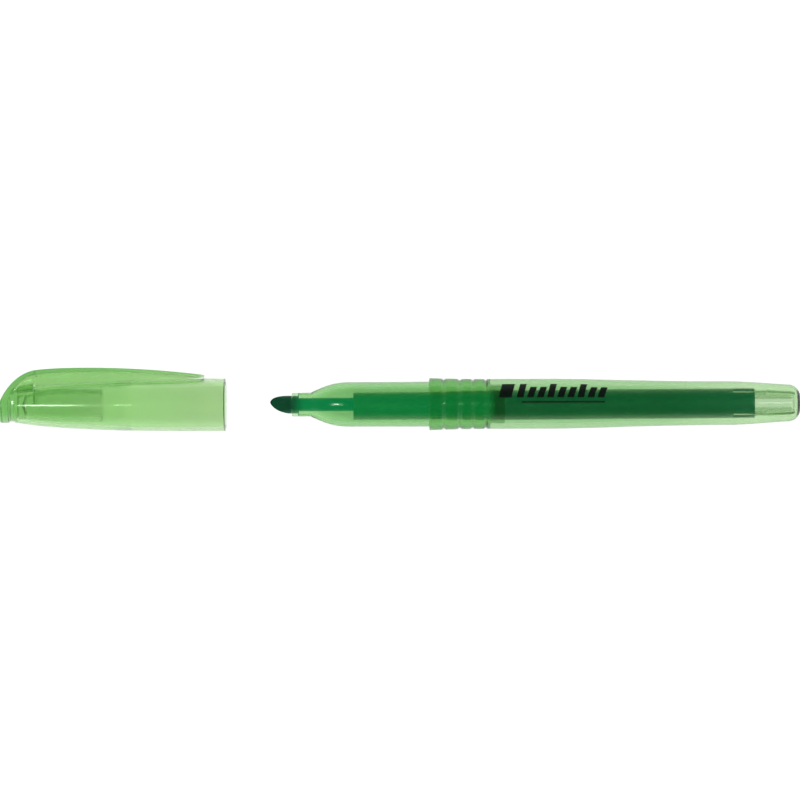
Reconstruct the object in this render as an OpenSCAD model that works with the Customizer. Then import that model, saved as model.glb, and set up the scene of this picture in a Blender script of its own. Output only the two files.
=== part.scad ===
// Pen-shaped highlighter, lying on its side with its cap pulled off in line in front of the nib.
// The pen's axis is X: the nib points to -X, the tail to +X, and the clip to +Y.
// The origin is on the axis, at the mouth of the barrel.

/* [Barrel] */
// Length of the barrel, from its mouth to the end of its tail
barrel_len = 73; // [66:0.5:100]
// Outer diameter of the barrel at its mouth
barrel_d = 11.8; // [11.6:0.1:15]
// Length of the straight stretch behind the mouth
barrel_straight = 15; // [10:0.5:20]
// Outer diameter where the slim rear half begins to close in
shoulder_d = 10.34; // [9.6:0.02:11.4]
// Length of the tail behind the shoulder
tail_len = 17; // [13:0.5:22]
// Outer diameter of the tail just before its rounded end
tail_d = 8.76; // [7.2:0.02:9.2]
// Length of the rounded end
tail_round = 3; // [1.5:0.1:4]
// Diameter of the flat in the middle of the rounded end
tail_flat_d = 3; // [1:0.1:5]
// Wall of the barrel
barrel_wall = 1.3; // [0.9:0.05:1.6]
// Number of ribs inside the tail
rib_count = 4; // [3:1:6]
// Thickness of each rib
rib_t = 0.6; // [0.4:0.1:1]
// Length of rib that runs along the reservoir
rib_grip = 5; // [2:0.5:10]

/* [Nib section] */
// Length of the ribbed collar
collar_len = 14.2; // [12:0.1:18]
// Diameter of the collar at its shoulder, where the cap stops
collar_d = 12.36; // [12:0.02:15.5]
// Depth of the grooves round the collar
groove_depth = 0.32; // [0.1:0.02:0.5]
// Length of the neck that the cap slides over
neck_len = 19.3; // [14:0.1:24]
// Diameter of the neck
neck_d = 10.6; // [9.6:0.05:11.2]
// Length of the cone in front of the neck
cone_len = 8.4; // [6:0.1:12]
// Length of the nose tube that holds the nib
nose_len = 4.6; // [3.5:0.1:7]
// Wall of the nose tube round the nib
nose_wall = 0.65; // [0.4:0.05:1]
// Wall of the section
section_wall = 1.1; // [0.8:0.05:1.2]
// Length of the spigot inside the barrel
spigot_len = 3.5; // [3:0.5:9]
// Wall of the spigot
spigot_wall = 0.65; // [0.5:0.05:0.8]

/* [Nib and ink] */
// Diameter of the nib's head
nib_d = 4.2; // [3.4:0.05:4.4]
// Length of nib that shows in front of the nose
nib_out = 5.1; // [4:0.1:8]
// Thickness of the writing edge
nib_edge = 1.2; // [0.8:0.1:2.4]
// Diameter of the nib's stem
stem_d = 3.1; // [2.4:0.05:3.3]
// Depth that the stem reaches into the reservoir
stem_in = 4; // [2:0.5:8]
// Distance that the reservoir's front end hangs below the pen's axis
reservoir_sag = 0.45; // [0:0.05:0.6]
// Air left between that squeezed front end and the neck
neck_air = 0.55; // [0.2:0.05:1]
// Radial clearance of the reservoir where the pen is narrowest
reservoir_fit = 0.15; // [0.1:0.05:0.5]
// Gap from the end of the reservoir to the end of the barrel
reservoir_back = 11; // [8:0.5:16]
// Thickness of the film round the reservoir
film_t = 0.1; // [0.05:0.01:0.2]

/* [Cap] */
// Length of the cap
cap_len = 53.1; // [50:0.1:64]
// Outer diameter of the cap at its mouth
cap_d = 12.5; // [12.4:0.05:16]
// Outer diameter of the cap where its closed end begins
cap_end_d = 8; // [7.4:0.05:9]
// Length of the closed end, with its groove and its button
cap_end_len = 3.6; // [2.6:0.1:5]
// Diameter of the button on the closed end
button_d = 8.2; // [6.6:0.05:8.4]
// Depth of the groove between the button and the cap
button_groove = 0.35; // [0.1:0.05:0.6]
// Wall of the cap behind the neck's reach
cap_wall = 1.05; // [0.8:0.05:1.3]
// Wall of the cap round the socket for the inner cap
socket_wall = 0.88; // [0.7:0.02:1.2]
// Open distance from the cap's mouth to the collar it stops on
cap_gap = 47.84; // [0.04:0.1:80]
// Length of the nose tube that the inner cap leaves open when the cap is on
inner_open = 1.3; // [0.6:0.1:2]
// Wall of the inner cap at its sealing lip
lip_wall = 0.9; // [0.6:0.05:1]
// Length of that lip
lip_len = 3.9; // [2:0.1:5]
// Wall of the inner cap behind its lip
inner_wall = 0.7; // [0.5:0.05:0.9]

/* [Clip] */
// Height of the clip's crest above the cap's side at its root
clip_rise = 2.05; // [1.8:0.05:3]
// Distance from the cap's mouth to the clip's free end
clip_end = 5; // [3:0.1:10]
// Width of the clip at its root
clip_w = 7.6; // [6:0.1:9]
// Width of the clip at its free end
clip_end_w = 5.4; // [4:0.1:7]
// Distance that the clip's skirts reach down past the cap's side at its root
clip_wrap = 1.6; // [0.6:0.05:1.7]
// Thickness of the clip's top and skirts at its root
clip_t = 1.05; // [0.8:0.05:1.3]
// Thickness of the clip at its free end
clip_end_t = 0.6; // [0.4:0.05:0.8]
// Air left between the free end and the cap
clip_air = 0.2; // [0.15:0.05:1]
// Gap where the clip leaves its root
clip_split = 0.05; // [0.03:0.01:0.1]

/* [Fits] */
// Radial clearance of the cap on the neck
cap_fit = 0.06; // [0.02:0.01:0.1]
// Radial clearance of the inner cap on the nose tube
seal_fit = 0.05; // [0.02:0.01:0.1]
// Radial clearance of pieces that are pressed together
press_fit = 0.02; // [0.01:0.005:0.04]
// Radial clearance of the nib and the reservoir
loose_fit = 0.05; // [0.03:0.01:0.1]

/* [Hidden] */
$fn = 96;

curve_steps = 14;        // straight steps in each Bezier curve
edge = 0.15;             // small chamfer on moulded edges
past = 1;                // how far a cutting shape runs past what it cuts
sunk = 0.04;             // how far a joined shape lies below the face it joins
reservoir_setback = 1.5; // from the front of the neck back to the reservoir
bore_full = 2;           // in front of the barrel's mouth, where the section's bore is at its full width
head_in = 1.4;           // length of the nib's head inside the nose
nib_slope = 4.2;         // length over which the nib's sides thin to the edge
flat_in = 1;             // nib's head is still round this far in front of the nose
shoulder_run = 4;        // stretch behind the barrel's shoulder that stays almost straight
tail_run = 6;            // stretch in front of its rounded end that closes in evenly
neck_clear = 2.7;        // room in the cap's bore behind the neck
bore_step = 2.5;         // length of the slope from that bore to the cavity behind it
cavity_inset = 0.5;      // how far the cavity is drawn in from the bore
cavity_floor = 0.7;      // plastic between the cavity's end and the groove
cap_hip = 8;             // depth where the cap begins to close in
button_share = 0.36;     // part of the closed end that the groove takes up
hood_len = 8.6;          // from the cap's end to the clip's root
hood_foot_y = 0.6;       // height where the hood's crest meets the cap's end
hood_back_t = 0.9;       // thickness of the hood at its foot
skirt_drop = 0.45;       // how far the skirts reach down beside the cap behind the free end
tip_rise = 3;            // length over which they rise to the free end
socket_len = 2;          // length of the inner cap that is pressed into the cap's end
inner_end_t = 1;         // thickness of the inner cap's closed end
green = [0.55, 0.78, 0.5];
deep_green = [0.08, 0.42, 0.22];

// places along X
shoulder_x = barrel_len - tail_len;
collar_x = -collar_len;
neck_x = collar_x - neck_len;
cone_x = neck_x - cone_len;
nose_x = cone_x - nose_len;
nib_x = nose_x - nib_out;
reservoir_end_x = barrel_len - reservoir_back;
reservoir_x = neck_x + reservoir_setback;
cap_x = collar_x - cap_gap;

// radii that follow from the fits
barrel_bore_r = barrel_d / 2 - barrel_wall;
spigot_r = barrel_bore_r - press_fit;
spigot_bore_r = spigot_r - spigot_wall;
neck_bore_r = neck_d / 2 - section_wall;
nib_bore_r = nib_d / 2 + loose_fit;
stem_bore_r = stem_d / 2 + loose_fit;
nose_d = 2 * (nib_bore_r + nose_wall);
cap_bore_r = neck_d / 2 + cap_fit;
seal_bore_r = nose_d / 2 + seal_fit;
inner_d = 2 * (seal_bore_r + lip_wall);
inner_end_d = cap_end_d - 2 * (socket_wall + press_fit);
clip_root_y = cap_d / 2 + clip_rise;

// depths inside the cap, measured from its mouth
neck_room = neck_len + neck_clear;
step_depth = neck_room + bore_step;
cap_body_len = cap_len - cap_end_len;
cavity_depth = cap_body_len - cavity_floor;
inner_depth = neck_len + cone_len + inner_open;
clip_root = cap_len - hood_len;

// A point on the cubic Bezier curve of four points, and the whole curve
function bezier(p, t) = pow(1 - t, 3) * p[0] + 3 * t * pow(1 - t, 2) * p[1]
    + 3 * t * t * (1 - t) * p[2] + pow(t, 3) * p[3];
function curve(p) = [for (i = [0 : curve_steps]) bezier(p, i / curve_steps)];
function mix(a, b, t) = a + (b - a) * t;

// A shape turned round the pen's axis, from an outline of [distance along X, radius]
module turned(outline) {
    rotate([0, 90, 0]) rotate_extrude() polygon([for (p = outline) [p[1], p[0]]]);
}

// Outside of the barrel behind its straight stretch, drawn in by an inset
function barrel_back(inset) = concat(
    curve([[barrel_straight, barrel_d / 2 - inset],
           [mix(barrel_straight, shoulder_x, 0.27), barrel_d / 2 - 0.08 - inset],
           [mix(barrel_straight, shoulder_x, 0.56), shoulder_d / 2 - 0.01 - inset],
           [shoulder_x, shoulder_d / 2 - inset]]),
    curve([[shoulder_x, shoulder_d / 2 - inset],
           [shoulder_x + shoulder_run, shoulder_d / 2 - 0.02 - inset],
           [barrel_len - tail_round - tail_run, mix(shoulder_d, tail_d, 0.53) / 2 - inset],
           [barrel_len - tail_round, tail_d / 2 - inset]]),
    [for (a = [15 : 15 : 90])
        [barrel_len - tail_round + (tail_round - inset) * sin(a),
         tail_flat_d / 2 + (tail_d / 2 - inset - tail_flat_d / 2) * cos(a)]]);

// The reservoir fills the narrower of the two bores round it: the barrel's at its rear end, and the
// spigot's, where it already hangs a little
rear_bore_r = lookup(reservoir_end_x, barrel_back(barrel_wall));
spigot_hang = reservoir_sag * reservoir_end_x / (reservoir_end_x - reservoir_x);
reservoir_r = min(rear_bore_r, spigot_bore_r - spigot_hang) - reservoir_fit;
reservoir_neck_r = neck_bore_r - reservoir_sag - neck_air;

module barrel_outside() {
    turned(concat([[0, 0], [0, barrel_d / 2]], barrel_back(0),
                  [[barrel_len, 0]]));
}

module barrel_inside() {
    turned(concat([[-past, 0], [-past, barrel_bore_r]], barrel_back(barrel_wall),
                  [[barrel_len - barrel_wall, 0]]));
}

// Ribs that centre the end of the reservoir and stop it
module tail_ribs() {
    stop_x = reservoir_end_x + loose_fit;
    for (i = [0 : rib_count - 1]) rotate([45 + i * 360 / rib_count, 0, 0]) {
        translate([reservoir_end_x - rib_grip, -rib_t / 2, reservoir_r + loose_fit])
            cube([rib_grip + past, rib_t, barrel_d / 2]);
        translate([stop_x, -rib_t / 2, reservoir_r / 2])
            cube([barrel_len - stop_x, rib_t, barrel_d / 2]);
    }
}

module barrel() {
    color(green) difference() {
        barrel_outside();
        difference() {
            barrel_inside();
            tail_ribs();
        }
    }
}

// Collar radius: it eases down from the shoulder to the barrel, with four round grooves
groove_at = [0.24, 0.503, 0.718, 0.933];      // shares of the collar's length
groove_w = [1.1, 1.5, 1, 1];
function dip(d, w) = abs(d) < w / 2 ? pow(cos(180 * d / w), 2) : 0;
function collar_r(d) = barrel_d / 2 + (collar_d - barrel_d) / 2 * pow(1 - d / collar_len, 2)
    - groove_depth * max([for (i = [0 : 3]) dip(d - groove_at[i] * collar_len, groove_w[i])]);

// Outside of the cone, drawn in by an inset
function cone_line(inset) = curve([[cone_x, nose_d / 2 + 0.1 - inset],
    [mix(cone_x, neck_x, 0.27), mix(nose_d, neck_d, 0.48) / 2 - inset],
    [mix(cone_x, neck_x, 0.58), neck_d / 2 - 0.1 - inset],
    [neck_x, neck_d / 2 - 0.03 - inset]]);

module nib_section() {
    collar_steps = 70;
    seat_x = nose_x + head_in + loose_fit;
    color(green) difference() {
        turned(concat(
            [[nose_x, 0], [nose_x, nose_d / 2 - 2 * edge], [nose_x + 2 * edge, nose_d / 2],
             [cone_x, nose_d / 2]],
            cone_line(0),
            [[collar_x, neck_d / 2], [collar_x, collar_d / 2 - edge]],
            [for (i = [1 : collar_steps - 1]) let (d = collar_len * i / collar_steps)
                [collar_x + d, collar_r(d)]],
            [[0, barrel_d / 2 - edge], [0, spigot_r], [spigot_len - 2 * edge, spigot_r],
             [spigot_len, spigot_r - edge], [spigot_len, 0]]));
        turned(concat(
            [[nose_x - past, 0], [nose_x - past, nib_bore_r], [seat_x, nib_bore_r],
             [seat_x, stem_bore_r], [cone_x, stem_bore_r]],
            [for (p = cone_line(section_wall)) [p[0] + 0.6, max(p[1], stem_bore_r)]],
            [[collar_x, neck_bore_r], [-bore_full, spigot_bore_r],
             [spigot_len + past, spigot_bore_r], [spigot_len + past, 0]]));
    }
}

// Chisel nib: a round head cut to a slanted edge, on a thinner stem
module nib() {
    head_x = nose_x + head_in;
    round_x = nose_x - flat_in;
    color(deep_green) {
        intersection() {
            turned([[nib_x, 0], [nib_x, nib_d / 2], [head_x, nib_d / 2], [head_x, 0]]);
            // slanted edge, seen from the side
            linear_extrude(height = nib_d + past, center = true) polygon(concat(
                [[head_x, -nib_d / 2 - past], [head_x, nib_d / 2 + past],
                 [round_x, nib_d / 2 + past], [round_x, nib_d / 2]],
                curve([[round_x, nib_d / 2], [nib_x + 1.5, nib_d * 0.42],
                       [nib_x, nib_d * 0.38], [nib_x, nib_d * 0.1]]),
                curve([[nib_x, nib_d * 0.1], [nib_x, -nib_d * 0.2],
                       [nib_x + 1.4, -nib_d / 2 + 0.1], [nib_x + 3.4, -nib_d / 2]]),
                [[nib_x + 3.4, -nib_d / 2 - past]]));
            // wedge that thins to the edge, seen from above
            rotate([90, 0, 0]) linear_extrude(height = nib_d + past, center = true) polygon(
                [[head_x, -nib_d / 2 - past], [nib_x + nib_slope, -nib_d / 2],
                 [nib_x, -nib_edge / 2], [nib_x, nib_edge / 2],
                 [nib_x + nib_slope, nib_d / 2], [head_x, nib_d / 2 + past]]);
        }
        turned([[head_x, 0], [head_x, stem_d / 2], [reservoir_x + stem_in - edge, stem_d / 2],
                [reservoir_x + stem_in, stem_d / 2 - edge], [reservoir_x + stem_in, 0]]);
    }
}

// The reservoir turns a little about its rear end, so its front end hangs low
module hang() {
    drop = asin(reservoir_sag / (reservoir_end_x - reservoir_x));
    translate([reservoir_end_x, 0, 0]) rotate([0, 0, drop]) translate([-reservoir_end_x, 0, 0])
        children();
}

// Outside of the wrapped reservoir, drawn in by an inset: squeezed in the neck, full in the barrel
function reservoir_line(inset) = concat([[reservoir_x, reservoir_neck_r - inset]],
    curve([[collar_x, reservoir_neck_r - inset],
           [mix(collar_x, -bore_full, 0.4), reservoir_neck_r - inset],
           [mix(collar_x, -bore_full, 0.6), reservoir_r - inset], [-bore_full, reservoir_r - inset]]),
    [[reservoir_end_x, reservoir_r - inset]]);

module reservoir_core() {
    color(deep_green) difference() {
        hang() turned(concat([[reservoir_x, 0]], reservoir_line(film_t), [[reservoir_end_x, 0]]));
        turned([[reservoir_x - past, 0], [reservoir_x - past, stem_bore_r],
                [reservoir_x + stem_in + loose_fit, stem_bore_r],
                [reservoir_x + stem_in + loose_fit, 0]]);
    }
}

module reservoir_wrap() {
    inner = reservoir_line(film_t);
    color(green) hang()
        turned(concat(reservoir_line(0), [for (i = [len(inner) - 1 : -1 : 0]) inner[i]]));
}

// Outside of the cap from its mouth back, by depth, drawn in by an inset
cap_curve = [[cap_hip, cap_d / 2 - 0.03], [mix(cap_hip, cap_body_len, 0.55), cap_d / 2 - 0.15],
             [mix(cap_hip, cap_body_len, 0.84), mix(cap_end_d, cap_d, 0.58) / 2],
             [cap_body_len, cap_end_d / 2]];

// Crest of the clip's hood and of its free strip, by depth and height
hood_curve = [[cap_len - 0.2, hood_foot_y], [cap_len - 1.5, 4], [cap_len - 4.5, clip_root_y - 0.7],
              [clip_root, clip_root_y]];
strip_tip_y = cap_d / 2 + clip_air + clip_end_t;
strip_curve = [[clip_root, clip_root_y], [clip_root - 5.5, clip_root_y + 0.75],
               [mix(clip_root, clip_end, 0.57), clip_root_y + 1],
               [clip_end, strip_tip_y]];
clip_edge_y = cap_d / 2 - clip_wrap;
clip_under_y = strip_tip_y - clip_end_t;
skirt_curve = [[clip_end, clip_under_y], [clip_end + tip_rise, clip_under_y - skirt_drop],
               [mix(clip_end, clip_root, 0.68), clip_under_y - 1.5 * skirt_drop],
               [clip_root, clip_edge_y]];

// The cap is drawn by depth from its mouth, and this puts it in place
module place_cap() {
    translate([cap_x, 0, 0]) mirror([1, 0, 0]) children();
}

// A solid drawn across the pen from its side view, and one drawn up from its plan view
module from_side(outline) {
    linear_extrude(height = 3 * clip_w, center = true) polygon(outline);
}

module from_above(outline) {
    rotate([-90, 0, 0]) linear_extrude(height = 2 * clip_root_y) polygon(outline);
}

// Plan of the clip, drawn in by an inset at its root and its free end: it narrows to a round end
function clip_plan(root_in, end_in) = concat(
    [for (a = [100 : 10 : 260]) [clip_end + clip_end_w / 2 + (clip_end_w / 2 - end_in) * cos(a),
                                 (clip_end_w / 2 - end_in) * sin(a)]],
    [[clip_root, root_in - clip_w / 2], [cap_len + past, root_in - clip_w / 2],
     [cap_len + past, clip_w / 2 - root_in], [clip_root, clip_w / 2 - root_in]]);

// Channel with a flat top and two skirts: the hood on the closed end, and the free strip
module clip_channel() {
    hood = curve(hood_curve);
    strip = curve(strip_curve);
    mid_split = clip_root + clip_split / 2;
    difference() {
        intersection() {
            from_side(concat([[cap_len - 0.2, hood_foot_y / 2]], hood, strip,
                             [[clip_end - past, strip_tip_y], [clip_end - past, clip_under_y]],
                             curve(skirt_curve),
                             [[mid_split, clip_edge_y], [mid_split, hood_foot_y / 2]]));
            from_above(clip_plan(0, 0));
        }
        intersection() {
            from_side(concat([[cap_len - hood_back_t, -past]],
                [for (p = hood) [p[0] - hood_back_t * (p[0] - clip_root) / hood_len, p[1] - clip_t]],
                [for (p = strip)
                    [p[0], p[1] - mix(clip_end_t, clip_t, (p[0] - clip_end) / (clip_root - clip_end))]],
                [[clip_end, -past]]));
            from_above(clip_plan(clip_t, clip_end_t));
        }
    }
}

// Body of the cap, whose button and closed end stay under the hood
module cap_body() {
    button_at = cap_body_len + cap_end_len * button_share;
    intersection() {
        turned(concat(
            [[0, 0], [0, cap_d / 2 - edge], [edge, cap_d / 2]],
            curve(cap_curve),
            [[cap_body_len, button_d / 2 - button_groove],
             [button_at, button_d / 2 - button_groove], [button_at, button_d / 2 - edge],
             [button_at + edge, button_d / 2], [cap_len - 3 * edge, button_d / 2],
             [cap_len, button_d / 2 - 3 * edge], [cap_len, 0]]));
        linear_extrude(height = cap_d + past, center = true) polygon(concat(
            [[-past, -cap_d], [cap_len + past, -cap_d], [cap_len + past, hood_foot_y / 2],
             [cap_len, hood_foot_y / 2]],
            [for (p = curve(hood_curve)) [p[0], p[1] - 3 * sunk]],
            [[clip_root, cap_d], [-past, cap_d]]));
    }
}

// Hollow of the cap: a bore for the neck, then a cavity that follows the outside
module cap_hollow() {
    lead_in = 2 * edge;
    turned(concat(
        [[-past, 0], [-past, cap_bore_r + lead_in], [0, cap_bore_r + lead_in],
         [lead_in, cap_bore_r], [neck_room, cap_bore_r]],
        [for (p = curve(cap_curve)) if (p[0] > step_depth && p[0] < cavity_depth)
            [p[0], min(p[1] - cap_wall, cap_bore_r - cavity_inset)]],
        [[cavity_depth, inner_end_d / 2 + press_fit], [cavity_depth, 0]]));
}

module cap_shell() {
    color(green) place_cap() difference() {
        union() {
            cap_body();
            // the hood, with the short root that the free strip bends from
            intersection() {
                clip_channel();
                translate([clip_root + clip_split, 0, -clip_w]) cube([cap_len, cap_d, 2 * clip_w]);
            }
        }
        cap_hollow();
    }
}

// Thimble that closes round the nose tube: its closed end is pressed into the end of the cap
module inner_cap() {
    // it tapers from a little over half way, or from where the cavity comes as close as 0.1
    narrow_at = lookup(inner_d / 2 + 0.1, [for (p = curve(cap_curve)) [p[1] - cap_wall, p[0]]]);
    taper_at = min(mix(inner_depth, cavity_depth, 0.55), narrow_at);
    socket_at = cavity_depth - socket_len;
    color(green) place_cap() difference() {
        turned([[inner_depth, 0], [inner_depth, inner_d / 2 - edge], [inner_depth + edge, inner_d / 2],
                [taper_at, inner_d / 2], [socket_at, inner_end_d / 2],
                [cavity_depth, inner_end_d / 2], [cavity_depth, 0]]);
        turned([[inner_depth - past, 0], [inner_depth - past, seal_bore_r + edge],
                [inner_depth, seal_bore_r + edge], [inner_depth + edge, seal_bore_r],
                [inner_depth + lip_len, seal_bore_r],
                [inner_depth + lip_len + 1, inner_d / 2 - inner_wall],
                [taper_at, inner_d / 2 - inner_wall],
                [socket_at, inner_end_d / 2 - inner_wall],
                [cavity_depth - inner_end_t, 0]]);
    }
}

// The free strip of the clip, which bends out from its root
module cap_clip() {
    color(green) place_cap() intersection() {
        clip_channel();
        translate([-past, 0, -clip_w]) cube([clip_root + past, cap_d, 2 * clip_w]);
    }
}

barrel();
nib_section();
nib();
reservoir_core();
reservoir_wrap();
cap_shell();
inner_cap();
cap_clip();
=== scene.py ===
import math

import bmesh
import bpy
from mathutils import Matrix, Vector


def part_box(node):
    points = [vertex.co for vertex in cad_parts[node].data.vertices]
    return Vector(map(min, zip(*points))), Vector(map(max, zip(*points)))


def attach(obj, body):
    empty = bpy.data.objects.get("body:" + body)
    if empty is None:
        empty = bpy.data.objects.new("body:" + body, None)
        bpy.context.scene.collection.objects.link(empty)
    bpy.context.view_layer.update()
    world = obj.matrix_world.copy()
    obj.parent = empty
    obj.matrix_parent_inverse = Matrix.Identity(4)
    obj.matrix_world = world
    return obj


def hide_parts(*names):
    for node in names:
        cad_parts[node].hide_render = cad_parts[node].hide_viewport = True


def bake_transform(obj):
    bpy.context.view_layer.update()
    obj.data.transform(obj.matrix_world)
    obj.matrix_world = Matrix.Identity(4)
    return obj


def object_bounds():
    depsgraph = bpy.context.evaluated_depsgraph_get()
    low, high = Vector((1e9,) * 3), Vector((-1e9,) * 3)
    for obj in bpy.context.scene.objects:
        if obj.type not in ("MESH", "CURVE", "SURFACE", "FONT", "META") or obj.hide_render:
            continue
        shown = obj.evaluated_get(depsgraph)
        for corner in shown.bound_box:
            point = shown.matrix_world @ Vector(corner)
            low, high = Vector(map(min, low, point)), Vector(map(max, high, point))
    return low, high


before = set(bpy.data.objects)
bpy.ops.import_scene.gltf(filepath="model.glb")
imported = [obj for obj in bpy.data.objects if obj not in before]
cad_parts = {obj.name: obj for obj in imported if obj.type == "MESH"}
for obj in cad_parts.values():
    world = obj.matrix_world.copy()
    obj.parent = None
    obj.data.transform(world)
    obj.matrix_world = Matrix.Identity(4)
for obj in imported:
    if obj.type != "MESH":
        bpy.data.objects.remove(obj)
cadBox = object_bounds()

mm = 0.001
scene = bpy.context.scene
print("frame loaded:", len(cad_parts), "nodes")


# ---------- places that come from the frame, in mm ----------
def boxMm(node):
    lo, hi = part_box(node)
    return Vector(lo) / mm, Vector(hi) / mm


barrelHi = boxMm("barrel")[1]
sectionLo, sectionHi = boxMm("nib_section")
nibLo, nibHi = boxMm("nib")
capLo, capHi = boxMm("cap_shell")
innerHi = boxMm("inner_cap")[1]

# ---------- camera ----------
view = {
    "wide": 188.0,       # mm of the pen's length that the frame takes in
    "lens": 180,         # long, so the pen shows square on
    "up": 1.0,           # mm that the view's centre lies above the pen's axis
    "roll": -0.2,        # degrees
}

lo, hi = cadBox
camData = bpy.data.cameras.new("camera")
camData.lens = view["lens"]
camData.sensor_width = 36
camera = bpy.data.objects.new("camera", camData)
scene.collection.objects.link(camera)
away = view["wide"] * mm / 2 / (camData.sensor_width / 2 / camData.lens)
camera.location = ((lo[0] + hi[0]) / 2, view["up"] * mm, away)
camera.rotation_euler = (0, 0, math.radians(view["roll"]))
scene.camera = camera


# ---------- small tools ----------
def bezier(a, b, c, d, steps=16):
    # points along a curve from a to d, drawn towards b and c
    a, b, c, d = Vector(a), Vector(b), Vector(c), Vector(d)
    points = []
    for i in range(steps + 1):
        t = i / steps
        points.append(a * (1 - t) ** 3 + b * 3 * t * (1 - t) ** 2 + c * 3 * t * t * (1 - t) + d * t ** 3)
    return [tuple(p) for p in points]


def corner(x, r, radius, start, end, steps=5):
    # quarter-like arc round (x, r), from one angle to the other, in degrees
    return [(x + radius * math.cos(math.radians(start + (end - start) * i / steps)),
             r + radius * math.sin(math.radians(start + (end - start) * i / steps)))
            for i in range(steps + 1)]


def tidied(points):
    # drops a point that lies on the one before it
    kept = [points[0]]
    for p in points[1:]:
        if math.dist(p, kept[-1]) > 1e-3:
            kept.append(p)
    return kept


def held(points, hold=0.06):
    # a long run gets a point close to each end, so that its shading stays straight
    line = [points[0]]
    for p in points[1:]:
        long = math.dist(p, line[-1])
        if long > 10 * hold:
            a, b = Vector(line[-1]), Vector(p)
            line += [tuple(a.lerp(b, hold / long)), tuple(b.lerp(a, hold / long))]
        line.append(p)
    return line


def turned(outline, steps):
    # outline of (x, distance from the axis) in mm, turned about the pen's axis
    outline = held(tidied(outline))
    bm = bmesh.new()
    verts = [bm.verts.new(Vector((x, -r, 0)) * mm) for x, r in outline]
    pairs = list(zip(verts, verts[1:]))
    if outline[0][1] > 1e-6:
        pairs.append((verts[-1], verts[0]))
    edges = [bm.edges.new(p) for p in pairs]
    bmesh.ops.spin(bm, geom=verts + edges, cent=(0, 0, 0), axis=(1, 0, 0),
                   angle=math.radians(360), steps=steps, use_merge=True)
    bmesh.ops.remove_doubles(bm, verts=bm.verts, dist=1e-7)
    bmesh.ops.recalc_face_normals(bm, faces=bm.faces)
    return bm


def addPiece(name, bm, material, body, replaced=None):
    mesh = bpy.data.meshes.new(name)
    bm.to_mesh(mesh)
    bm.free()
    mesh.materials.append(material)
    piece = bpy.data.objects.new(name, mesh)
    shadeByAngle(piece)
    scene.collection.objects.link(piece)
    if body:
        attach(piece, body)
    if replaced:
        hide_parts(*replaced)
    return piece


def baked(piece):
    # the piece's mesh with its modifiers applied
    depsgraph = bpy.context.evaluated_depsgraph_get()
    mesh = bpy.data.meshes.new_from_object(piece.evaluated_get(depsgraph))
    piece.modifiers.clear()
    old = piece.data
    piece.data = mesh
    bpy.data.meshes.remove(old)


def combine(piece, bm, how):
    # how: UNION, DIFFERENCE or INTERSECT with the mesh in bm
    mesh = bpy.data.meshes.new("tool")
    bm.to_mesh(mesh)
    bm.free()
    tool = bpy.data.objects.new("tool", mesh)
    scene.collection.objects.link(tool)
    step = piece.modifiers.new("shape", "BOOLEAN")
    step.operation = how
    step.solver = "EXACT"
    step.object = tool
    baked(piece)
    bpy.data.objects.remove(tool)
    bpy.data.meshes.remove(mesh)


def soften(piece, width, angle, segments):
    # rounds every edge that is sharper than the angle
    step = piece.modifiers.new("soft edges", "BEVEL")
    step.width = width * mm
    step.segments = segments
    step.limit_method = "ANGLE"
    step.angle_limit = math.radians(angle)
    step.harden_normals = False
    baked(piece)


def shadeByAngle(piece, angle=40):
    # smooth shading, broken at edges that are sharper than the angle
    bm = bmesh.new()
    bm.from_mesh(piece.data)
    for e in bm.edges:
        e.smooth = len(e.link_faces) != 2 or e.calc_face_angle(0) < math.radians(angle)
    for f in bm.faces:
        f.smooth = True
    bm.to_mesh(piece.data)
    bm.free()


# ---------- materials ----------
def colour(code, alpha=1.0):
    # sRGB hex to the linear colour that the shaders take
    parts = [int(code[i:i + 2], 16) / 255 for i in (1, 3, 5)]
    linear = [p / 12.92 if p <= 0.04045 else ((p + 0.055) / 1.055) ** 2.4 for p in parts]
    return (*linear, alpha)


def addNode(tree, kind, settings=None, **links):
    # settings: socket or property name to value; links: socket name (spaces as _) to an output
    node = tree.nodes.new(kind)
    for key, value in (settings or {}).items():
        if key in node.inputs:
            node.inputs[key].default_value = value
        else:
            setattr(node, key, value)
    for key, source in links.items():
        tree.links.new(source, node.inputs[key.replace("_", " ")])
    return node


def newMaterial(name):
    material = bpy.data.materials.new(name)
    material.use_nodes = True
    material.node_tree.nodes.clear()
    return material, material.node_tree


def stretchedCoords(tree, along, across):
    # object coordinates with one unit per "along" mm on X and per "across" mm round it
    place = addNode(tree, "ShaderNodeTexCoord")
    return addNode(tree, "ShaderNodeMapping",
                   {"Scale": (1 / (along * mm), 1 / (across * mm), 1 / (across * mm))},
                   Vector=place.outputs["Object"]).outputs["Vector"]


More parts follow.
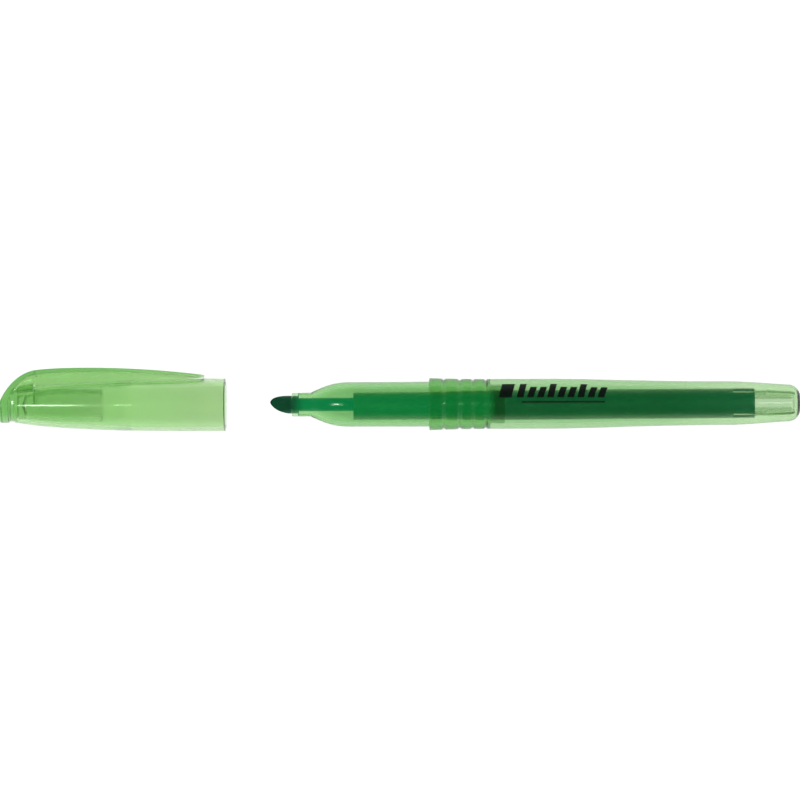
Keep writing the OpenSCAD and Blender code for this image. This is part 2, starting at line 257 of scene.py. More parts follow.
def tintedPlastic(name, spec):
    # Polypropylene, injection moulded: clear but a little milky, tinted in the mass, so it is deeper in
    # colour where it is thick, with faint flow lines along the mould's filling direction, and with a skin
    # colour painted lighter and darker along X as painted light and shade
    material, tree = newMaterial(name)
    flow = addNode(tree, "ShaderNodeTexNoise", {"Scale": 1.0, "Detail": 4.0, "Roughness": 0.55},
                   Vector=stretchedCoords(tree, spec["flowLong"], spec["flowWide"]))
    satin = addNode(tree, "ShaderNodeMapRange",
                    {"From Min": 0.3, "From Max": 0.7, "To Min": spec["rough"] * 0.8,
                     "To Max": spec["rough"] * 1.25}, Value=flow.outputs["Fac"])
    place = addNode(tree, "ShaderNodeTexCoord")
    along = addNode(tree, "ShaderNodeSeparateXYZ", None, Vector=place.outputs["Object"])
    # painted light and shade: the skin colour is painted from its light tone at the 'pale' place to its
    # darker tone at the 'deep' place along X
    depth = addNode(tree, "ShaderNodeMapRange",
                    {"From Min": spec["pale"] * mm, "From Max": spec["deep"] * mm, "To Min": -0.5,
                     "To Max": 0.5}, Value=along.outputs["X"])
    shade = addNode(tree, "ShaderNodeMath", {"operation": "ADD"})
    tree.links.new(flow.outputs["Fac"], shade.inputs[0])
    tree.links.new(depth.outputs["Result"], shade.inputs[1])
    cast = addNode(tree, "ShaderNodeMix", {"data_type": "RGBA"})
    cast.inputs[6].default_value = colour(spec["skin"])
    cast.inputs[7].default_value = colour(spec["skinPaintedShade"])
    tree.links.new(shade.outputs["Value"], cast.inputs[0])
    grain = addNode(tree, "ShaderNodeTexNoise", {"Scale": 1.0, "Detail": 2.0},
                    Vector=stretchedCoords(tree, 0.8, 0.35))
    bump = addNode(tree, "ShaderNodeBump", {"Strength": spec["bump"], "Distance": 0.00002},
                   Height=grain.outputs["Fac"])
    shader = addNode(tree, "ShaderNodeBsdfPrincipled",
                     {"IOR": 1.49, "Transmission Weight": spec["clear"], "Coat Weight": spec["gloss"],
                      "Coat Roughness": 0.05, "Coat IOR": 1.45},
                     Roughness=satin.outputs["Result"], Normal=bump.outputs["Normal"])
    tree.links.new(cast.outputs[2], shader.inputs["Base Color"])
    mass = addNode(tree, "ShaderNodeVolumeAbsorption",
                   {"Color": colour(spec["mass"]), "Density": spec["density"]})
    addNode(tree, "ShaderNodeOutputMaterial", None, Surface=shader.outputs["BSDF"],
            Volume=mass.outputs["Volume"])
    return material


barrelPlastic = tintedPlastic("barrel polypropylene", {
    "skin": "#ffffff", "skinPaintedShade": "#e0f0e0", "mass": "#84cf42", "density": 330, "rough": 0.08,
    "clear": 0.99, "gloss": 0, "bump": 0.15, "flowLong": 9, "flowWide": 0.9,
    "pale": 62, "deep": 40})
sectionPlastic = tintedPlastic("section polypropylene", {
    "skin": "#eaf8e8", "skinPaintedShade": "#d4ebd1", "mass": "#88d85e", "density": 450, "rough": 0.12,
    "clear": 0.99, "gloss": 0, "bump": 0.15, "flowLong": 7, "flowWide": 0.8,
    "pale": -42, "deep": -30})
capPlastic = tintedPlastic("cap polypropylene", {
    "skin": "#e4f4d6", "skinPaintedShade": "#dcf7cc", "mass": "#98d980", "density": 235, "rough": 0.15,
    "clear": 0.97, "gloss": 0.4, "bump": 0.07, "flowLong": 8, "flowWide": 1.1,
    "pale": -62, "deep": -86})
innerPlastic = tintedPlastic("inner cap polypropylene", {
    "skin": "#ffffff", "skinPaintedShade": "#f6fff4", "mass": "#88dc70", "density": 45, "rough": 0.15,
    "clear": 0.99, "gloss": 0, "bump": 0.1, "flowLong": 5, "flowWide": 0.8,
    "pale": -91, "deep": -100})


def fibreRod(name, spec):
    # polyester fibres drawn out along X and soaked with ink: matt, streaky, wet where the ink pools
    material, tree = newMaterial(name)
    strands = addNode(tree, "ShaderNodeTexNoise", {"Scale": 1.0, "Detail": 6.0, "Roughness": 0.6},
                      Vector=stretchedCoords(tree, spec["strandLong"], spec["strandWide"]))
    pools = addNode(tree, "ShaderNodeTexNoise", {"Scale": 1.0, "Detail": 3.0},
                    Vector=stretchedCoords(tree, 14, 3))
    mixed = addNode(tree, "ShaderNodeMath", {"operation": "MULTIPLY_ADD"})
    mixed.inputs[1].default_value = 0.7
    tree.links.new(strands.outputs["Fac"], mixed.inputs[0])
    tree.links.new(pools.outputs["Fac"], mixed.inputs[2])
    tone = addNode(tree, "ShaderNodeValToRGB")
    tone.color_ramp.elements[0].position = 0.55
    tone.color_ramp.elements[0].color = colour(spec["dark"])
    tone.color_ramp.elements[1].position = 1.05
    tone.color_ramp.elements[1].color = colour(spec["light"])
    tree.links.new(mixed.outputs["Value"], tone.inputs["Fac"])
    wet = addNode(tree, "ShaderNodeMapRange",
                  {"From Min": 0.3, "From Max": 0.7, "To Min": 0.75, "To Max": 0.45},
                  Value=pools.outputs["Fac"])
    bump = addNode(tree, "ShaderNodeBump", {"Strength": spec["bump"], "Distance": 0.00005},
                   Height=strands.outputs["Fac"])
    place = addNode(tree, "ShaderNodeTexCoord")
    along = addNode(tree, "ShaderNodeSeparateXYZ", None, Vector=place.outputs["Object"])
    # painted glow: the emission strength goes from one value to the other between the two 'between' places
    # along X, painting light into the fibre
    soaked = addNode(tree, "ShaderNodeMapRange",
                     {"From Min": spec["between"][0] * mm, "From Max": spec["between"][1] * mm,
                      "To Min": spec["paintedGlowStrength"][0], "To Max": spec["paintedGlowStrength"][1]},
                     Value=along.outputs["X"])
    shader = addNode(tree, "ShaderNodeBsdfPrincipled",
                     {"Specular IOR Level": 0.2, "Emission Color": colour(spec["glow"])},
                     Base_Color=tone.outputs["Color"], Roughness=wet.outputs["Result"],
                     Emission_Strength=soaked.outputs["Result"], Normal=bump.outputs["Normal"])
    addNode(tree, "ShaderNodeOutputMaterial", None, Surface=shader.outputs["BSDF"])
    return material


# the ink is fluorescent; its green is painted on as a glow of its own, which also paints light along X:
# brighter where the rod sits in the section and behind the nib's tip, dimmer in the barrel and at the tip
reservoirFibre = fibreRod("ink-soaked reservoir fibre", {
    "dark": "#06803f", "light": "#12a35c", "strandLong": 12, "strandWide": 0.25, "bump": 0.5,
    "glow": "#00c890", "paintedGlowStrength": (0.54, 0.21), "between": (0.3, 1.4)})
nibFibre = fibreRod("bonded nib fibre", {
    "dark": "#083a24", "light": "#106a40", "strandLong": 3, "strandWide": 0.12, "bump": 0.6,
    "glow": "#00c88a", "paintedGlowStrength": (0.02, 0.46), "between": (sectionLo.x - 0.5, sectionLo.x + 3)})


def filmSleeve():
    # oriented polypropylene film wrapped round the rod: thin and clear, creased a little lengthways
    material, tree = newMaterial("reservoir film")
    creases = addNode(tree, "ShaderNodeTexNoise", {"Scale": 1.0, "Detail": 3.0},
                      Vector=stretchedCoords(tree, 20, 1.2))
    gloss = addNode(tree, "ShaderNodeMapRange",
                    {"From Min": 0.35, "From Max": 0.65, "To Min": 0.3, "To Max": 0.45},
                    Value=creases.outputs["Fac"])
    bump = addNode(tree, "ShaderNodeBump", {"Strength": 0.2, "Distance": 0.00003},
                   Height=creases.outputs["Fac"])
    shader = addNode(tree, "ShaderNodeBsdfPrincipled",
                     {"Base Color": colour("#d8f5e0"), "IOR": 1.49, "Transmission Weight": 0.97},
                     Roughness=gloss.outputs["Result"], Normal=bump.outputs["Normal"])
    addNode(tree, "ShaderNodeOutputMaterial", None, Surface=shader.outputs["BSDF"])
    return material


def printInk():
    # pad-printed ink: opaque, thin, with tiny gaps where the pad left none
    material, tree = newMaterial("pad-printed ink")
    specks = addNode(tree, "ShaderNodeTexNoise", {"Scale": 1.0, "Detail": 5.0},
                     Vector=stretchedCoords(tree, 0.3, 0.3))
    tone = addNode(tree, "ShaderNodeValToRGB")
    tone.color_ramp.elements[0].position = 0.35
    tone.color_ramp.elements[0].color = colour("#0c2216")
    tone.color_ramp.elements[1].position = 0.75
    tone.color_ramp.elements[1].color = colour("#173a26")
    tree.links.new(specks.outputs["Fac"], tone.inputs["Fac"])
    shader = addNode(tree, "ShaderNodeBsdfPrincipled", {"Roughness": 0.45},
                     Base_Color=tone.outputs["Color"])
    addNode(tree, "ShaderNodeOutputMaterial", None, Surface=shader.outputs["BSDF"])
    return material


filmMaterial = filmSleeve()
inkMaterial = printInk()
print("materials made")

# ---------- barrel ----------
barrel = {
    "wall": 1.3,
    "straight": 15,
    "shoulderX": 56,       # where the slim rear half closes in
    "shoulderR": 5.17,
    "tailR": 4.38,
    "tailRound": 3.0,
    "flatR": 1.5,
    "ribs": 4,
    "ribThick": 0.6,
    "ribGrip": 5,          # mm of the reservoir's end that the ribs hold
    "gripIn": 3.53,
    "gripOut": 4.2,
    "stopIn": 1.75,        # behind the reservoir the ribs reach further in
    "stopOut": 3.4,
    "stopEnd": 71.2,
}


def barrelBack(inset):
    # the barrel's side from the end of its straight stretch to the middle of its tail
    x0, x1, r0, r1 = barrel["straight"], barrel["shoulderX"], barrelHi.y, barrel["shoulderR"]
    endX = barrelHi.x - barrel["tailRound"]
    run = x1 - x0
    line = bezier((x0, r0 - inset), (x0 + 0.27 * run, r0 - 0.08 - inset),
                  (x0 + 0.56 * run, r1 - 0.01 - inset), (x1, r1 - inset), 24)
    line += bezier((x1, r1 - inset), (x1 + 4, r1 - 0.02 - inset),
                   (endX - 6, 4.75 - inset), (endX, barrel["tailR"] - inset), 20)
    for i in range(1, 15):
        a = math.radians(90 * i / 14)
        flat = barrel["flatR"]
        line.append((endX + (barrel["tailRound"] - inset) * math.sin(a),
                     flat + (barrel["tailR"] - inset - flat) * math.cos(a)))
    return line


mouthR = barrelHi.y
boreR = mouthR - barrel["wall"]
outside = corner(0.06, mouthR - 0.06, 0.06, 180, 90) + barrelBack(0) + [(barrelHi.x, 0)]
inside = [(0.05, boreR), (0, boreR + 0.05)]
barrelOutline = [(barrelHi.x - barrel["wall"], 0)] + barrelBack(barrel["wall"])[::-1] + inside + outside
barrelPiece = addPiece("barrel_tube", turned(barrelOutline, 144), barrelPlastic, "pen", ["barrel"])

ribs = bmesh.new()
reservoirEnd = 62
ribRuns = ((reservoirEnd - barrel["ribGrip"], reservoirEnd + 0.3, barrel["gripIn"], barrel["gripOut"]),
           (reservoirEnd + 0.05, barrel["stopEnd"], barrel["stopIn"], barrel["stopOut"]))
for i in range(barrel["ribs"]):
    turn = Matrix.Rotation(math.radians(45 + i * 360 / barrel["ribs"]), 4, "X")
    for x0, x1, r0, r1 in ribRuns:
        depth = r1 - r0
        made = bmesh.ops.create_cube(ribs, size=1.0)["verts"]
        bmesh.ops.scale(ribs, vec=Vector((x1 - x0, barrel["ribThick"], depth)) * mm, verts=made)
        bmesh.ops.translate(ribs, vec=Vector(((x0 + x1) / 2, 0, r0 + depth / 2)) * mm, verts=made)
        bmesh.ops.transform(ribs, matrix=turn, verts=made)
print("barrel made")

# ---------- nib section ----------
section = {
    "wall": 1.1,
    "neckR": 5.3,
    "noseR": 2.8,
    "shoulderR": sectionHi.y,
    "collarX": -14.2,
    "neckX": -33.5,
    "coneX": -41.9,
    "grooveDepth": 0.32,
    "grooves": ((3.4, 1.1), (7.15, 1.5), (10.2, 1.0), (13.25, 1.0)),   # place behind the shoulder, width
    "spigotR": 4.58,
    "spigotWall": 0.65,
    "nibBore": 2.15,
    "stemBore": 1.6,
}


def coneLine(inset):
    # the cone's side from the nose to the neck
    a, b, n, k = section["coneX"], section["neckX"], section["noseR"], section["neckR"]
    return bezier((a, n + 0.1 - inset), (a + 0.27 * (b - a), n + 0.48 * (k - n) - inset),
                  (a + 0.58 * (b - a), k - 0.1 - inset), (b, k - 0.03 - inset), 28)


def collarR(d):
    # the collar's radius by distance behind its shoulder, with its four grooves
    length = -section["collarX"]
    r = mouthR + (section["shoulderR"] - mouthR) * (1 - d / length) ** 2
    for at, wide in section["grooves"]:
        if abs(d - at) < wide / 2:
            r -= section["grooveDepth"] * math.cos(math.pi * (d - at) / wide) ** 2
    return r


noseX = sectionLo.x
front = corner(noseX + 0.3, section["noseR"] - 0.3, 0.3, 180, 90) + [(section["coneX"], section["noseR"])]
collar = [(section["collarX"] + d, collarR(d)) for d in
          [(0.25 + i * (13.85 - 0.25) / 130) for i in range(131)]]
spigotEnd = sectionHi.x
spigotBore = section["spigotR"] - section["spigotWall"]
sectionOutline = (
    front + coneLine(0)
    + [(section["collarX"] - 0.02, section["neckR"])]
    + corner(section["collarX"] + 0.2, section["shoulderR"] - 0.22, 0.2, 180, 92)
    + collar
    + [(-0.05, mouthR - 0.03), (-0.015, mouthR - 0.08), (-0.015, section["spigotR"])]
    + [(spigotEnd - 0.25, section["spigotR"]), (spigotEnd, section["spigotR"] - 0.2)]
    + [(spigotEnd, spigotBore), (-2, spigotBore),
       (section["collarX"], section["neckR"] - section["wall"])]
    + [(x + 0.6, max(r, section["stemBore"])) for x, r in coneLine(section["wall"])][::-1]
    + [(section["coneX"], section["stemBore"]), (noseX + 1.5, section["stemBore"]),
       (noseX + 1.5, section["nibBore"]), (noseX + 0.1, section["nibBore"]),
       (noseX, section["nibBore"] + 0.1)])
addPiece("nib_holder", turned(sectionOutline, 144), sectionPlastic, "pen",
         ["nib_section"])
print("section made")

# ---------- print on the barrel ----------
mark = {
    "strokes": 9,
    "start": 6.2,          # mm behind the barrel's mouth
    "pitch": 2.36,
    "width": 1.55,
    "slant": 0.9,
    "low": 15,             # degrees up from the side that faces the viewer
    "high": 52,
    "shorter": 10,         # degrees that two strokes in three are shorter by
    "badge": (2.0, 5.0),
    "lineLow": 2.5,
    "lineHigh": 6,
    "inkThick": 0.02,
}


def printed(x0, x1, low, high, slant, steps=10):
    # thin patch that lies on the barrel between two angles
    bm = bmesh.new()
    rows = []
    outer = barrelBack(0)
    for i in range(steps + 1):
        angle = math.radians(low + (high - low) * i / steps)
        row = []
        for k in range(7):
            x = x0 + (x1 - x0) * k / 6 + slant * i / steps
            r = mouthR
            for a, b in zip(outer, outer[1:]):
                if a[0] <= x <= b[0]:
                    r = a[1] + (b[1] - a[1]) * (x - a[0]) / (b[0] - a[0])
            r += mark["inkThick"] / 2
            row.append(bm.verts.new(Vector((x, r * math.sin(angle), r * math.cos(angle))) * mm))
        rows.append(row)
    for a, b in zip(rows, rows[1:]):
        for k in range(6):
            bm.faces.new((a[k], a[k + 1], b[k + 1], b[k]))
    bmesh.ops.solidify(bm, geom=bm.faces[:], thickness=mark["inkThick"] * mm / 2)
    bmesh.ops.recalc_face_normals(bm, faces=bm.faces)
    return bm


patches = [(*mark["badge"], mark["low"], mark["high"], mark["slant"])]
for i in range(mark["strokes"]):
    x0 = mark["start"] + i * mark["pitch"]
    top = mark["high"] - (mark["shorter"] if i % 3 else 0)
    patches.append((x0, x0 + mark["width"], mark["low"], top, mark["slant"]))
patches.append((mark["start"] + 1.2, mark["start"] + mark["strokes"] * mark["pitch"] - 0.6,
                mark["lineLow"], mark["lineHigh"], 0))
stamp = bmesh.new()
for patch in patches:
    made = printed(*patch)
    mesh = bpy.data.meshes.new("patch")
    made.to_mesh(mesh)
    made.free()
    stamp.from_mesh(mesh)
    bpy.data.meshes.remove(mesh)
addPiece("barrel_print", stamp, inkMaterial, "pen")
print("print made")

# ---------- reservoir ----------
reservoir = {
    "film": 0.1,
    "frontR": 3.2,
    "fullR": 3.48,
    "frontX": -32,
    "stemHole": 1.6,
    "stemDepth": 4.05,
    "hang": 0.45,          # mm that its front end lies below the axis
}


def reservoirLine(inset, inEnds=0.0):
    a = reservoir["frontX"] + inEnds
    c = section["collarX"]
    line = [(a, reservoir["frontR"] - inset)]
    line += bezier((c, reservoir["frontR"] - inset), (c + 4.9, reservoir["frontR"] - inset),
                   (c + 7.3, reservoir["fullR"] - inset), (c + 12.2, reservoir["fullR"] - inset), 16)
    return line + [(reservoirEnd - inEnds, reservoir["fullR"] - inset)]


def hung(bm):
    # the rod rests at its rear end, and its front end hangs low
    angle = math.asin(reservoir["hang"] / (reservoirEnd - reservoir["frontX"]))
    pivot = Vector((reservoirEnd, 0, 0)) * mm
    turn = Matrix.Translation(pivot) @ Matrix.Rotation(angle, 4, "Z") @ Matrix.Translation(-pivot)
    bmesh.ops.transform(bm, matrix=turn, verts=bm.verts)
    return bm


gap = 0.01
coreLine = reservoirLine(reservoir["film"] + gap, 0.02)
frontX = reservoir["frontX"] + 0.02
holeEnd = frontX + reservoir["stemDepth"]
coreOutline = ([(holeEnd, 0), (holeEnd, reservoir["stemHole"]), (frontX, reservoir["stemHole"])]
               + coreLine + [(reservoirEnd - 0.02, 0)])
addPiece("ink_rod", hung(turned(coreOutline, 96)), reservoirFibre, "pen", ["reservoir_core"])
wrapOutline = reservoirLine(0) + reservoirLine(reservoir["film"])[::-1]
addPiece("film_sleeve", hung(turned(wrapOutline, 96)), filmMaterial, "pen", ["reservoir_wrap"])
print("reservoir made")

# ---------- nib ----------
nib = {
    "headR": 2.1,
    "stemR": 1.55,
    "headBack": 1.4,       # mm of head inside the nose
    "edge": 1.1,           # thickness of the writing edge
    "tipY": 0.6,           # height of its foremost point above the axis
}

tipX = nibLo.x
headEnd = noseX + nib["headBack"]
nibPiece = addPiece("chisel_nib", turned(
    [(tipX, 0), (tipX, nib["headR"]), (headEnd, nib["headR"]), (headEnd + 0.3, nib["stemR"]),
     (nibHi.x - 0.2, nib["stemR"]), (nibHi.x, nib["stemR"] - 0.2), (nibHi.x, 0)], 96),
    nibFibre, "pen", ["nib"])


def cutAway(bm, point, normal):
    bmesh.ops.bisect_plane(bm, geom=bm.verts[:] + bm.edges[:] + bm.faces[:], dist=1e-7,
                           plane_co=Vector(point) * mm, plane_no=normal, clear_outer=True)
    rim = [e for e in bm.edges if len(e.link_faces) == 1]
    bmesh.ops.holes_fill(bm, edges=rim, sides=0)


bm = bmesh.new()
bm.from_mesh(nibPiece.data)
for side in (1, -1):       # the wedge thins to the edge
    cutAway(bm, (tipX, 0, side * nib["edge"] / 2),
            Vector((-(nib["headR"] - nib["edge"] / 2), 0, side * 4.4)).normalized())
top = bezier((tipX + 4.2, nib["headR"]), (tipX + 1.8, 2.1), (tipX + 0.3, 1.6), (tipX, nib["tipY"]), 7)
under = bezier((tipX, nib["tipY"]), (tipX + 0.1, -0.1), (tipX + 1.4, -1.7), (tipX + 4.4, -nib["headR"]), 9)
for a, b in list(zip(top, top[1:])) + list(zip(under, under[1:])):      # slanted writing edge
    cutAway(bm, (*a, 0), Vector((b[1] - a[1], a[0] - b[0], 0)).normalized())
bm.to_mesh(nibPiece.data)
bm.free()
soften(nibPiece, 0.12, 30, 2)
shadeByAngle(nibPiece, 50)
print("nib made")

# ---------- cap ----------
cap = {
    "length": 53.1,
    "outR": capHi.z,
    "hip": 8,              # mm from the mouth to where the side starts to close in
    "endLen": 3.6,
    "endR": 4.0,
    "buttonR": 4.1,
    "groove": 0.35,
    "wall": 1.05,
    "boreR": 5.36,
    "neckRoom": 22.0,      # mm of bore that takes the neck
    "stepRoom": 2.5,       # mm of slope behind it
    "floor": 0.7,          # mm from the cavity's end to the groove
    "socketR": 3.12,
}
clip = {
    "rootY": 8.3,
    "edgeY": 4.65,         # lower edge of the skirts at the root
    "endY": 7.05,
    "drop": 0.45,          # how far the skirts reach down beside the cap behind the free end
    "backThick": 0.9,      # hood at its foot
    "width": 7.6,
    "endWidth": 5.4,
    "thick": 1.05,         # flat top and skirts, at the root
    "endThick": 0.6,
    "end": 5.0,            # mm from the cap's mouth to the free end
    "root": 44.5,
    "join": 0.3,           # mm of the hood that bends with the strip
    "bend": 3,             # mm of the strip over which it bends
}
mouthX = capHi.x
bodyLen = cap["length"] - cap["endLen"]


def flipped(points):
    # from depth behind the cap's mouth to places along X
    return [(mouthX - d, r) for d, r in points]


hipRun = bodyLen - cap["hip"]
hipCurve = bezier((cap["hip"], cap["outR"] - 0.03), (cap["hip"] + 0.55 * hipRun, cap["outR"] - 0.15),
                  (cap["hip"] + 0.84 * hipRun, cap["endR"] + 0.58 * (cap["outR"] - cap["endR"])),
                  (bodyLen, cap["endR"]), 40)
buttonAt = bodyLen + cap["endLen"] * 0.36
cavityEnd = bodyLen - cap["floor"]
capOutline = (
    [(0, cap["boreR"] + 0.3)] + corner(0.15, cap["outR"] - 0.15, 0.15, 180, 90)
    + hipCurve
    + [(bodyLen + 0.12, cap["buttonR"] - cap["groove"]), (buttonAt - 0.05, cap["buttonR"] - cap["groove"])]
    + corner(buttonAt + 0.2, cap["buttonR"] - 0.2, 0.2, 180, 90)
    + corner(cap["length"] - 0.6, cap["buttonR"] - 0.6, 0.6, 90, 0, 7) + [(cap["length"], 0)])
cavity = ([(0.3, cap["boreR"]), (cap["neckRoom"], cap["boreR"])]
          + [(d, min(r - cap["wall"], cap["boreR"] - 0.5)) for d, r in hipCurve
             if cap["neckRoom"] + cap["stepRoom"] < d < cavityEnd]
          + [(cavityEnd, cap["socketR"]), (cavityEnd, 0)])
capPiece = addPiece("cap_tube", turned(flipped(cavity[::-1] + capOutline), 144), capPlastic, "cap",
                    ["cap_shell"])

# crest of the hood and of the free strip, by depth and height
hoodCrest = bezier((cap["length"] - 0.2, 0.6), (cap["length"] - 1.5, 4),
                   (cap["length"] - 4.5, clip["rootY"] - 0.7), (clip["root"], clip["rootY"]), 32)
stripCrest = bezier((clip["root"], clip["rootY"]), (clip["root"] - 5.5, clip["rootY"] + 0.75),
                    (clip["root"] + 0.57 * (clip["end"] - clip["root"]), clip["rootY"] + 1),
                    (clip["end"], clip["endY"]), 60)
clipRun = clip["root"] - clip["end"]
underY = clip["endY"] - clip["endThick"]
skirtEdge = bezier((clip["end"], underY), (clip["end"] + 3, underY - clip["drop"]),
                   (clip["end"] + 0.68 * clipRun, underY - 1.5 * clip["drop"]),
                   (clip["root"], clip["edgeY"]), 40)


def drawnOut(points, way):
    # closed flat outline in mm, drawn out along a vector
    bm = bmesh.new()
    verts = [bm.verts.new(Vector(p) * mm) for p in points]
    out = bmesh.ops.extrude_face_region(bm, geom=[bm.faces.new(verts)])["geom"]
    bmesh.ops.translate(bm, vec=Vector(way) * mm, verts=[v for v in out if isinstance(v, bmesh.types.BMVert)])
    bmesh.ops.recalc_face_normals(bm, faces=bm.faces)
    return bm


def fromSide(outline, halfWidth=9):
    # outline of (depth, height), drawn out across the pen
    return drawnOut([(mouthX - d, y, -halfWidth) for d, y in tidied(outline)], (0, 0, 2 * halfWidth))


def fromAbove(outline, height=16):
    # outline of (depth, place across the pen), drawn up from the axis
    return drawnOut([(mouthX - d, 0, z) for d, z in tidied(outline)], (0, height, 0))


def clipPlan(rootIn, endIn):
    # it narrows from the root to a round free end
    r, half = clip["endWidth"] / 2, clip["width"] / 2 - rootIn
    tip = [(clip["end"] + r + (r - endIn) * math.cos(math.radians(a)),
            (r - endIn) * math.sin(math.radians(a))) for a in range(100, 261, 5)]
    return tip + [(clip["root"], -half), (cap["length"] + 1, -half),
                  (cap["length"] + 1, half), (clip["root"], half)]


def thickAt(d):
    return clip["endThick"] + (clip["thick"] - clip["endThick"]) * (d - clip["end"]) / clipRun


def clipChannel():
    # flat top with two skirts under it: the hood on the closed end, and the free strip
    hoodLen = cap["length"] - clip["root"]
    side = [(cap["length"] - 0.2, 0.3)] + hoodCrest + stripCrest[1:] + skirtEdge + [(clip["root"], 0.3)]
    lean = clip["backThick"] / hoodLen
    hollow = ([(cap["length"] - clip["backThick"], -1)]
              + [(d - lean * (d - clip["root"]), y - clip["thick"]) for d, y in hoodCrest]
              + [(d, y - thickAt(d)) for d, y in stripCrest[1:]] + [(clip["end"], -1)])
    under = addPiece("under", fromSide(hollow), capPlastic, None)
    combine(under, fromAbove(clipPlan(clip["thick"], clip["endThick"])), "INTERSECT")
    channel = addPiece("pocket_clip", fromSide(side), capPlastic, None)
    combine(channel, fromAbove(clipPlan(0, 0)), "INTERSECT")
    tool = bmesh.new()
    tool.from_mesh(under.data)
    combine(channel, tool, "DIFFERENCE")
    bpy.data.objects.remove(under)
    return channel


# everything above the crest is cut from the button and the closed end
above = hoodCrest + [(clip["root"], 12), (cap["length"] + 2, 12), (cap["length"] + 2, 0.4)]
combine(capPiece, fromSide([(d, y - 0.12) for d, y in above]), "DIFFERENCE")

rootX = mouthX - clip["root"]
joinX = rootX - clip["join"]       # where the bending strip meets the hood
clipPiece = clipChannel()
hood = bmesh.new()
hood.from_mesh(clipPiece.data)
cutAway(hood, (joinX - 0.02, 0, 0), Vector((1, 0, 0)))
strip = bmesh.new()
strip.from_mesh(clipPiece.data)
cutAway(strip, (joinX, 0, 0), Vector((-1, 0, 0)))
strip.to_mesh(clipPiece.data)
strip.free()
hoodPiece = addPiece("hood", hood, capPlastic, None)
core = [(d, r - cap["wall"] / 2) for d, r in hipCurve if clip["root"] - 2 < d < cavityEnd + 0.2]
combine(hoodPiece, turned(flipped([(core[0][0], 0)] + core + [(core[-1][0], 0)]), 144), "DIFFERENCE")
hood = bmesh.new()
hood.from_mesh(hoodPiece.data)
bpy.data.objects.remove(hoodPiece)
combine(capPiece, hood, "UNION")
print("cap and clip made")

# ---------- inner cap ----------
inner = {
    "outR": 3.75,
    "endR": 3.1,
    "boreR": 2.85,
    "lip": 3.9,            # mm of seal at its mouth
    "wall": 0.7,
    "socket": 2,
}
innerMouth = mouthX - innerHi.x
taper = 0.45 * (cavityEnd - innerMouth)
innerOutline = (
    [(innerMouth, inner["boreR"] + 0.15)] + corner(innerMouth + 0.15, inner["outR"] - 0.15, 0.15, 180, 90)
    + [(cavityEnd - taper, inner["outR"]), (cavityEnd - inner["socket"], inner["endR"]),
       (cavityEnd - 0.15, inner["endR"]), (cavityEnd - 0.01, inner["endR"] - 0.15), (cavityEnd - 0.01, 0)])
innerHollow = [(innerMouth + 0.15, inner["boreR"]), (innerMouth + inner["lip"], inner["boreR"]),
               (innerMouth + inner["lip"] + 1, inner["outR"] - inner["wall"]),
               (cavityEnd - taper, inner["outR"] - inner["wall"]),
               (cavityEnd - inner["socket"], inner["endR"] - inner["wall"]), (cavityEnd - 1, 0)]
addPiece("seal_thimble", turned(flipped(innerHollow[::-1] + innerOutline), 96), innerPlastic, "cap",
         ["inner_cap"])
print("inner cap made")

# ---------- floor and light ----------
stage = {
    "floor": "#f4f4f2",
    "glow": 0.85,          # the pale floor is lit from within, as on a light table
    "walls": (0.8, 0.35),  # near the clip's side they are in shade
    "ceiling": 0.02,
    "strip": (0.26, 0.1),  # m, size of each strip light
    "stripOut": (-0.41, 0.46),       # m from the camera's axis
    "stripPower": 1.3,
}

floorMesh = bpy.data.meshes.new("floor")
bm = bmesh.new()
bmesh.ops.create_grid(bm, x_segments=1, y_segments=1, size=4)
bmesh.ops.translate(bm, vec=(0, 0, capLo.z * mm - 0.0002), verts=bm.verts)
bm.to_mesh(floorMesh)
bm.free()
floorPiece = bpy.data.objects.new("floor", floorMesh)
scene.collection.objects.link(floorPiece)
floorMaterial, tree = newMaterial("pale table")
shader = addNode(tree, "ShaderNodeBsdfPrincipled",
                 {"Base Color": colour(stage["floor"]), "Roughness": 0.9,
                  "Emission Color": (1, 1, 1, 1), "Emission Strength": stage["glow"]})
addNode(tree, "ShaderNodeOutputMaterial", None, Surface=shader.outputs["BSDF"])
floorMesh.materials.append(floorMaterial)

world = bpy.data.worlds.new("studio")
world.use_nodes = True
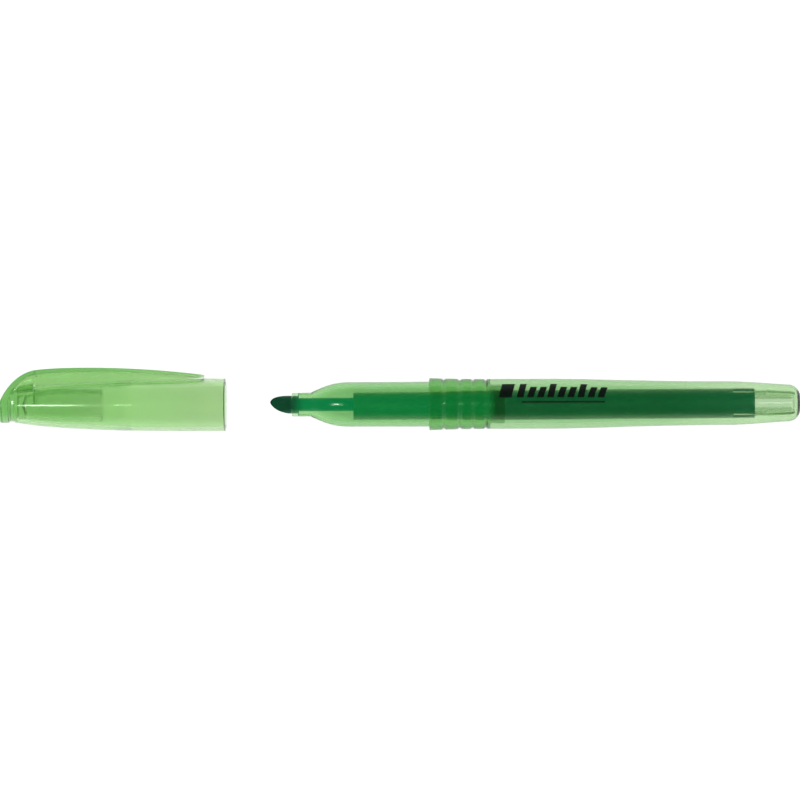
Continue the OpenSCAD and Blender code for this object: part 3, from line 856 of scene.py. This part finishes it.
# white walls under a dark ceiling, so that only the sides of the tubes carry a sheen
tree = world.node_tree
tree.nodes.clear()
facing = addNode(tree, "ShaderNodeTexCoord")
height = addNode(tree, "ShaderNodeSeparateXYZ", None, Vector=facing.outputs["Generated"])
wall = addNode(tree, "ShaderNodeMapRange",
               {"From Min": -0.4, "From Max": 0.7, "To Min": stage["walls"][0], "To Max": stage["walls"][1]},
               Value=height.outputs["Y"])
fade = addNode(tree, "ShaderNodeMapRange",
               {"From Min": 0.2, "From Max": 0.6, "To Max": stage["ceiling"]},
               Value=height.outputs["Z"], To_Min=wall.outputs["Result"])
sky = addNode(tree, "ShaderNodeBackground", {"Color": (1, 1, 1, 1)}, Strength=fade.outputs["Result"])
seen = addNode(tree, "ShaderNodeBackground", {"Color": (0.95, 0.95, 0.94, 1), "Strength": 1.0})
ray = addNode(tree, "ShaderNodeLightPath")
both = addNode(tree, "ShaderNodeMixShader", None, Fac=ray.outputs["Is Camera Ray"])
tree.links.new(sky.outputs["Background"], both.inputs[1])
tree.links.new(seen.outputs["Background"], both.inputs[2])
addNode(tree, "ShaderNodeOutputWorld", None, Surface=both.outputs["Shader"])
scene.world = world

for out in stage["stripOut"]:       # two strips beside the camera, which draw the thin lines of light
    lampData = bpy.data.lights.new("strip light", "AREA")
    lampData.shape = "RECTANGLE"
    lampData.size, lampData.size_y = stage["strip"]
    lampData.energy = stage["stripPower"]
    lamp = bpy.data.objects.new("strip light", lampData)
    lamp.location = ((lo[0] + hi[0]) / 2 + out, 0.01, 1.0)
    lamp.rotation_euler = (0, math.atan(out), 0)
    scene.collection.objects.link(lamp)

scene.view_settings.view_transform = "Standard"
scene.cycles.use_denoising = True
scene.cycles.max_bounces = 32
scene.cycles.transmission_bounces = 32
scene.cycles.glossy_bounces = 8
scene.cycles.diffuse_bounces = 6
print("stage set")

# ---------- pieces that meet at the joints ----------
combine(barrelPiece, ribs, "UNION")
shadeByAngle(barrelPiece, 40)
soften(capPiece, 0.12, 40, 2)
shadeByAngle(capPiece, 50)
soften(clipPiece, 0.12, 40, 2)
shadeByAngle(clipPiece, 50)
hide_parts("cap_clip")
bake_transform(clipPiece)
